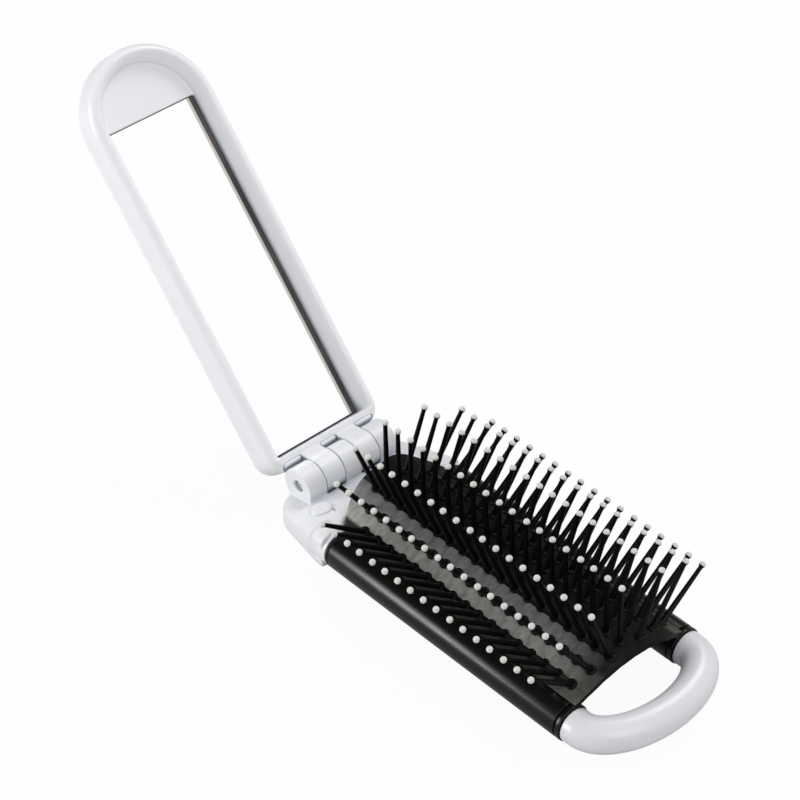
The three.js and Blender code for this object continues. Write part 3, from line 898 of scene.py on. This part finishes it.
def lid_matrix():
    """Turns the lid's own frame, face up along X, over to the closed place and then open."""
    opened = Matrix.Rotation(-OPENING, 4, "Y")
    over = Matrix.Rotation(math.pi, 4, "X")
    return Matrix.Translation((0, 0, HINGE_HEIGHT)) @ opened @ over


def along_hinge(name, profile, low, high):
    """A section of (x, z) points made solid from y = low to y = high."""
    verts = [(x, low, z) for x, z in profile] + [(x, high, z) for x, z in profile]
    obj = mesh_object(name, verts, rings_to_faces(2, len(profile)), WHITE)
    tidy_normals(obj)
    return obj


def capsule(name, radius, x, z, low, high):
    """A round-ended bar along Y."""
    profile = []
    for turn in quarter(ROUND_STEPS):
        profile.append((max(radius * math.sin(turn), POLE), low + radius * (1 - math.cos(turn))))
    for turn in quarter(ROUND_STEPS):
        profile.append((max(radius * math.cos(turn), POLE), high - radius * (1 - math.sin(turn))))
    return turned_y(name, profile, x, z, BEAD_SIDES, WHITE)


def lid_hollows():
    """The forms cut out of the lid: recess, drop before the bar, mirror pocket, and room for the knuckles."""
    margins, heights = [], []
    for i in range(WALL_STEPS + 1):
        turn = WALL_ROLL * i / WALL_STEPS
        margins.append(WALL_SLOPE * (1 - math.cos(turn)) / (1 - math.cos(WALL_ROLL)))
        heights.append(-LID_FLOOR + (LID_FLOOR - LID_CREST) * math.sin(turn) / math.sin(WALL_ROLL))
    outlines = [recess_outline(margin) for margin in margins + [WALL_SLOPE]]
    wide = HINGE_HALF + CLEARANCE
    depth = MIRROR_THICKNESS + TAPE_THICKNESS + CLEARANCE
    hollows = [
        loft("recess", outlines, heights + [FAR_PAST]),
        box_piece("bar_drop", (0, -wide, -LID_BAR), (BAR_END, wide, FAR_PAST)),
        box_piece(
            "pocket", (BAR_END, -FLOOR_HALF, -LID_FLOOR - depth), (MIRROR_FAR + TAPE_GAP, FLOOR_HALF, 0)
        ),
    ]
    before = LID_NEAR - PAST
    step = [(before, PAST), (STEP_END, PAST), (STEP_END, -STEP_DEPTH), (before, -STEP_DEPTH)]
    for low, high in BLOCK_KNUCKLES:
        hollows.append(rod_y("sweep", BARREL + CLEARANCE, 0, 0, low - SIDE_GAP, high + SIDE_GAP))
        hollows.append(along_hinge("step", step, low - SIDE_GAP, high + SIDE_GAP))
    return hollows


def make_lid():
    body = rounded_blank("lid_moulding", lid_outline, -LID_BACK, -LID_CREST, BACK_ROUND, RIM_ROUND)
    combine(body, lid_hollows(), "DIFFERENCE")
    slope = BARREL * math.sqrt(0.5)
    web_back = -LID_BACK + BACK_ROUND
    web = [
        (0, 0), (slope, slope), (TAB_END, -LID_BAR), (BAR_END, -LID_BAR), (BAR_END, web_back),
        (LID_NEAR, web_back), (LID_NEAR, -LID_BAR),
    ]
    for low, high in LID_KNUCKLES:
        combine(body, [along_hinge("tab", web, low, high), rod_y("barrel", BARREL, 0, 0, low, high)], "UNION")
    bore = rod_y("bore", PIN_RADIUS + CLEARANCE, 0, 0, -HINGE_HALF, HINGE_HALF, AXLE_SIDES)
    combine(body, [bore], "DIFFERENCE")
    moulded(body, LID_VOXEL, LID_SMOOTHING)
    body.data.transform(lid_matrix())
    repaint(body, LID_LIT_AND_SHADED_WHITE)
    settle(body, "lid", "lid_frame")

    for number, (low, high) in enumerate(BEADS, 1):
        bead = capsule("lid_bead_%d" % number, BEAD_RADIUS, BEAD_PLACE, BEAD_HEIGHT, low, high)
        bead.data.transform(lid_matrix())
        settle(bead, "lid", "lid_frame")


def pane_loop(bevel, ground, height):
    """The pane's corners at one height, its edges ground back and the one beside the filler bevelled."""
    near, far = MIRROR_NEAR + ground, MIRROR_FAR - ground
    low, high = MIRROR_LOW + bevel, MIRROR_HIGH - ground
    return [(near, low, height), (far, low, height), (far, high, height), (near, high, height)]


def make_mirror():
    front = -LID_FLOOR
    back = -LID_FLOOR - MIRROR_THICKNESS
    verts = pane_loop(0, 0, back) + pane_loop(0, 0, front - GROUND_DEPTH)
    verts += pane_loop(MIRROR_BEVEL, MIRROR_GROUND, front)
    faces = rings_to_faces(3, 4)
    glass = mesh_object("mirror_pane", verts, faces, SILVER)
    glass.data.materials.append(GLASS_EDGE)
    for polygon in glass.data.polygons:
        polygon.material_index = 0 if polygon.index == len(faces) - 1 else 1
    glass.data.transform(lid_matrix())
    tidy_normals(glass, smooth=False)
    settle(glass, "lid", "mirror_glass")

    top = back - TAPE_GAP
    under = top - TAPE_THICKNESS
    wide = FLOOR_HALF - TAPE_GAP
    tape = box_piece("tape_sheet", (MIRROR_NEAR, -wide, under), (MIRROR_FAR, wide, top))
    filler = box_piece(
        "filler", (MIRROR_NEAR, -wide, under), (MIRROR_FAR, MIRROR_LOW - TAPE_GAP, front - TAPE_THICKNESS)
    )
    combine(tape, [filler], "UNION")
    modified(tape, ("BEVEL", {"width": TAPE_BEVEL, "segments": 2}))
    repaint(tape, FOAM)
    tape.data.transform(lid_matrix())
    tidy_normals(tape, smooth=False)
    settle(tape, "lid", "mirror_tape")


def make_hinge_pin():
    reach = HINGE_HALF - RECESS
    profile = first_edge(PIN_RADIUS, -reach, PIN_EDGE) + round_edge(PIN_RADIUS, reach, PIN_EDGE, 1)
    rod = turned_y("steel_pin", profile, 0, HINGE_HEIGHT, AXLE_SIDES, STEEL)
    settle(rod, "base", "hinge_pin")


def pad_edge(y):
    """Where the pad starts and ends along X at a distance y from the middle plane."""
    start = PAD_START + PAD_START_RADIUS - math.sqrt(PAD_START_RADIUS ** 2 - y * y)
    start -= LONG_EDGE * math.exp(-(((y - LONG_EDGE_PLACE) / LONG_EDGE_WIDTH) ** 2))
    share = min(1, abs(y) / RAIL_ASIDE)
    end = PAD_END - PAD_BOW + PAD_BOW * math.sqrt(1 - share * share)
    return start, end


def pad_section():
    """The sheet from the middle plane to a rail: flat panels that meet under the rows of pins."""
    centre = PAD_CROWN - PAD_RADIUS
    lines = [PAD_RADIUS * math.sin(math.radians(turn)) for turn in ROW_TURNS] + [PAD_UPPER_END]
    inner = PAD_RADIUS - PAD_THICKNESS
    upper, lower = [], []
    for a, b in zip(lines, lines[1:]):
        last = b == PAD_UPPER_END
        ends = []
        for y in (a, b):
            low_y = PAD_LOWER_END if last and y == b else y * inner / PAD_RADIUS
            ends.append((
                Vector((y, centre + math.sqrt(PAD_RADIUS ** 2 - y * y))),
                Vector((low_y, centre + math.sqrt(inner ** 2 - low_y * low_y))),
            ))
        for k in range(PANEL_STEPS + (1 if last else 0)):
            share = k / PANEL_STEPS
            upper.append(ends[0][0].lerp(ends[1][0], share))
            lower.append(ends[0][1].lerp(ends[1][1], share))
    return upper, lower


def pad_panel(side, name, upper, lower):
    """One flat panel of the sheet, between two lines of its section, as a slab whose end at the handle is
    black, as painted shade.
    """
    across = len(upper) - 1
    verts = []
    for line in (upper, lower):
        for point, top in zip(line, upper):
            start, end = pad_edge(side * top.x)
            for k in range(PAD_STEPS + 1):
                verts.append((start + (end - start) * k / PAD_STEPS, side * point.x, point.y))
    row = PAD_STEPS + 1
    layer = (across + 1) * row
    faces = []
    for i in range(across):
        for k in range(PAD_STEPS):
            a = i * row + k
            faces.append((a, a + 1, a + row + 1, a + row))
            faces.append(tuple(layer + n for n in (a, a + row, a + row + 1, a + 1)))
    # Painted shade: the unlit end faces at the handle take the black pins' material
    shaded_end_faces = []
    for i in range(across):
        a, b = i * row, (i + 1) * row
        faces.append((a, b, b + layer, a + layer))
        a, b = a + PAD_STEPS, b + PAD_STEPS
        shaded_end_faces.append(len(faces))
        faces.append((b, a, a + layer, b + layer))
    for k in range(PAD_STEPS):
        a = across * row + k
        faces.append((a + 1, a, a + layer, a + 1 + layer))
        faces.append((k, k + 1, k + 1 + layer, k + layer))
    panel = mesh_object(name, verts, faces, RUBBER)
    panel.data.materials.append(PIN_BLACK)
    for index in shaded_end_faces:
        panel.data.polygons[index].material_index = 1
    tidy_normals(panel, smooth=False)
    return panel


def make_pad():
    """Each inner panel goes with the row at its inner side; the outer ones, which reach from a row to the
    rail, go with no body.
    """
    upper, lower = pad_section()
    for side, rows in ((-1, "dcba"), (1, "defg")):
        for k, row in enumerate(rows):
            first, last = k * PANEL_STEPS, (k + 1) * PANEL_STEPS
            name = "pad_panel_" + ("left" if side < 0 else "right") + "_" + row
            panel = pad_panel(side, name, upper[first:last + 1], lower[first:last + 1])
            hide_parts("bristle_pad")
            if k < len(rows) - 1:
                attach(panel, "row_" + row)
            else:
                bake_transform(panel)


def pin_rows():
    """Letter, side, number from the middle and first pin's place of every row."""
    for i, letters in enumerate(ROW_NAMES):
        last = PAD_END - END_SHARES[i] * PITCH
        first = last - (ROW_COUNTS[i] - 1) * PITCH
        for n, letter in enumerate(letters):
            side = 1 if n == 0 else -1
            yield letter, side, i, first


def scaled(profile, width):
    return [(width * share, height * MM) for share, height in profile]


def shaft_profile(length):
    """Radius and height of a pin's neck and shaft, up to the black underside of its ball."""
    points = scaled(NECK_PROFILE, FOOT) + scaled(SHAFT_PROFILE, SHAFT_FOOT)
    points.append(((SHAFT_FOOT + SHAFT_TOP) / 2, length / 2))
    for latitude in UNDERSIDE:
        turn = math.radians(latitude)
        points.append((max(SHAFT_TOP, BALL * math.cos(turn)), length + BALL * math.sin(turn)))
    return points


def ball_profile(length):
    points = []
    for i in range(BALL_STEPS + 1):
        turn = math.radians(BALL_SEAM + (90 - BALL_SEAM) * i / BALL_STEPS)
        points.append((max(BALL * math.cos(turn), POLE), length + BALL * math.sin(turn)))
    return points


def ridge_strip(first, last):
    """The low rounded bar along a row, its section over the pad's surface, as vertices and faces."""
    section = scaled(STRIP_PROFILE, STRIP_HALF)
    verts = []
    for x in (first - STRIP_END, last + STRIP_END):
        verts += [Vector((x, aside, up)) for aside, up in section]
    return verts, rings_to_faces(2, len(section))


def make_rows():
    """The pins sway a little along their rows, by a noise whose seed gives the same result in every run."""
    noise.seed_set(SWAY_SEED)
    centre = PAD_CROWN - PAD_RADIUS
    for letter, side, i, first in pin_rows():
        turn = math.radians(ROW_TURNS[i])
        lean = math.radians(ROW_LEANS[i])
        length = REACH_SHARES[i] * PIN_LENGTH
        foot = Vector((0, side * PAD_RADIUS * math.sin(turn), centre + PAD_RADIUS * math.cos(turn)))
        on_pad = Matrix.Rotation(-side * turn, 4, "X")
        stand = Matrix.Rotation(-side * lean, 4, "X")
        last = first + (ROW_COUNTS[i] - 1) * PITCH
        for part, material in (("pins", PIN_BLACK), ("balls", BALL_WHITE)):
            verts, faces = [], []
            if part == "pins":
                strip, faces = ridge_strip(first, last)
                verts = [on_pad @ point + foot for point in strip]
            for n in range(ROW_COUNTS[i]):
                sway = noise.noise_vector((n * SWAY_ALONG, i * SWAY_ACROSS, side)) * SWAY
                tilt = Matrix.Rotation(sway.y, 4, "Y") @ stand
                place = foot + Vector((first + n * PITCH, 0, 0))
                if part == "pins":
                    forms = [(scaled(FOOT_PROFILE, FOOT), on_pad), (shaft_profile(length), tilt)]
                else:
                    forms = [(ball_profile(length), tilt)]
                for profile, turned_by in forms:
                    offset = len(verts)
                    for radius, height in profile:
                        for k in range(PIN_SIDES):
                            spin = 2 * math.pi * k / PIN_SIDES
                            point = Vector((radius * math.cos(spin), radius * math.sin(spin), height))
                            verts.append(turned_by @ point + place)
                    for face in rings_to_faces(len(profile), PIN_SIDES):
                        faces.append(tuple(v + offset for v in face))
            row = mesh_object("row_" + letter + "_" + part, verts, faces, material)
            tidy_normals(row)
            settle(row, "row_" + letter, "bristle_row_" + letter)


def area_lamp(name, place, wide, high, power, only_glints):
    data = bpy.data.lights.new(name, "AREA")
    data.shape = "RECTANGLE"
    data.size = wide
    data.size_y = high
    data.energy = power
    lamp = bpy.data.objects.new(name, data)
    bpy.context.scene.collection.objects.link(lamp)
    lamp.location = place
    lamp.rotation_euler = (Vector(LAMP_AIM) - Vector(place)).to_track_quat("-Z", "Y").to_euler()
    lamp.visible_diffuse = not only_glints


def seen_or_mirrored(nodes, links, mirrored):
    """1 for what the camera sees straight, mirrored for reflections, 0 for the light on surfaces."""
    rays = nodes.new("ShaderNodeLightPath")
    part = maths(nodes, links, "MULTIPLY", rays.outputs["Is Glossy Ray"], mirrored)
    return rays, maths(nodes, links, "MAXIMUM", rays.outputs["Is Camera Ray"], part)


def make_floor():
    """A white floor whose glow lifts it to the photograph's white, without lighting the brush."""
    corners = [(x * FLOOR_REACH, y * FLOOR_REACH, 0) for x, y in ((-1, -1), (1, -1), (1, 1), (-1, 1))]
    material, nodes, links, shader = node_material("floor_white")
    shader.inputs["Base Color"].default_value = FLOOR_COLOUR
    shader.inputs["Roughness"].default_value = FLOOR_ROUGHNESS
    shader.inputs["Specular IOR Level"].default_value = 0
    glow = nodes.new("ShaderNodeEmission")
    glow.inputs["Strength"].default_value = FLOOR_GLOW
    _, seen = seen_or_mirrored(nodes, links, FLOOR_MIRRORED)
    blend = nodes.new("ShaderNodeMixShader")
    links.new(maths(nodes, links, "MULTIPLY", seen, FLOOR_SEEN), blend.inputs["Fac"])
    links.new(shader.outputs["BSDF"], blend.inputs[1])
    links.new(glow.outputs["Emission"], blend.inputs[2])
    links.new(blend.outputs["Shader"], nodes["Material Output"].inputs["Surface"])
    floor = mesh_object("floor", corners, [(0, 1, 2, 3)], material)


def make_world():
    """White toward the handle end and darker toward the hinge end in reflections, white to the camera."""
    world = bpy.data.worlds.new("studio")
    bpy.context.scene.world = world
    world.use_nodes = True
    nodes, links = world.node_tree.nodes, world.node_tree.links
    soft = nodes["Background"]
    soft.inputs["Color"].default_value = WORLD_LIGHT
    soft.inputs["Strength"].default_value = WORLD_STRENGTH
    place = nodes.new("ShaderNodeTexCoord")
    split = nodes.new("ShaderNodeSeparateXYZ")
    links.new(place.outputs["Generated"], split.inputs["Vector"])
    side = map_range(
        nodes, links, split.outputs["X"], (WORLD_DARK_END, WORLD_WHITE_END), target=(WORLD_DARK, 1)
    )
    rays, seen = seen_or_mirrored(nodes, links, 1)
    bright = nodes.new("ShaderNodeBackground")
    bright.inputs["Color"].default_value = WORLD_WHITE
    links.new(maths(nodes, links, "MAXIMUM", side, rays.outputs["Is Camera Ray"]), bright.inputs["Strength"])
    mix = nodes.new("ShaderNodeMixShader")
    links.new(seen, mix.inputs["Fac"])
    links.new(soft.outputs["Background"], mix.inputs[1])
    links.new(bright.outputs["Background"], mix.inputs[2])
    links.new(mix.outputs["Shader"], nodes["World Output"].inputs["Surface"])


def make_studio():
    make_floor()
    make_world()
    for lamp in LAMPS:
        area_lamp(*lamp)


def make_camera():
    data = bpy.data.cameras.new("camera")
    data.lens = LENS
    data.sensor_width = SENSOR
    camera = bpy.data.objects.new("camera", data)
    bpy.context.scene.collection.objects.link(camera)
    back = -CAMERA_VIEW.normalized()
    right = (CAMERA_RIGHT - CAMERA_RIGHT.dot(back) * back).normalized()
    up = back.cross(right)
    turn = Matrix((right, up, back)).transposed().to_4x4()
    camera.matrix_world = Matrix.Translation(CAMERA_PLACE) @ turn
    bpy.context.scene.camera = camera


make_camera()
make_rails()
make_handle()
make_block()
make_lid()
make_mirror()
make_hinge_pin()
make_pad()
make_rows()
make_studio()
bpy.context.scene.view_settings.view_transform = "Standard"
